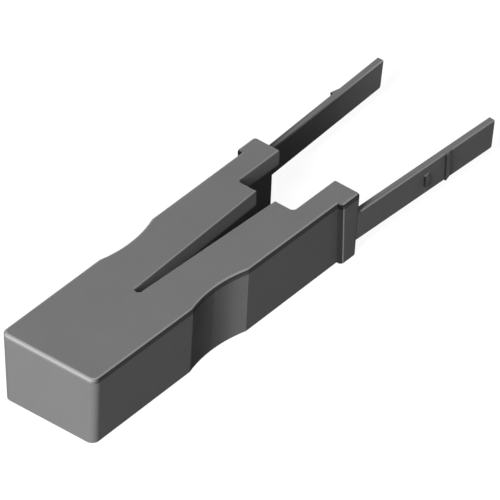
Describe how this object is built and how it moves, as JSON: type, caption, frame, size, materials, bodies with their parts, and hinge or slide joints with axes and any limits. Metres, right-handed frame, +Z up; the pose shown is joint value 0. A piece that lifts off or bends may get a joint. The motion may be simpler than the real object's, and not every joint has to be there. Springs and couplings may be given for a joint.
{
  "type": "switch removal tool",
  "caption": "Moulded squeeze tool for taking out snap-in switches: hollow two-armed handle with a V slot, finger scallops and two flat barbed prongs.",
  "frame": {"origin": "centre of the bounding box on the flat underside that rests on the table", "axes": "+Y along the tool from the heel of the handle to the prong tips, +X to the right across the arms, +Z up out of the smooth top of the handle"},
  "size_m": [0.0254, 0.0999, 0.014],
  "materials": {
    "plastic": "fine moulded matt"
  },
  "bodies": {
    "root": {"tool_body": "plastic"}
  },
  "joints": []
}
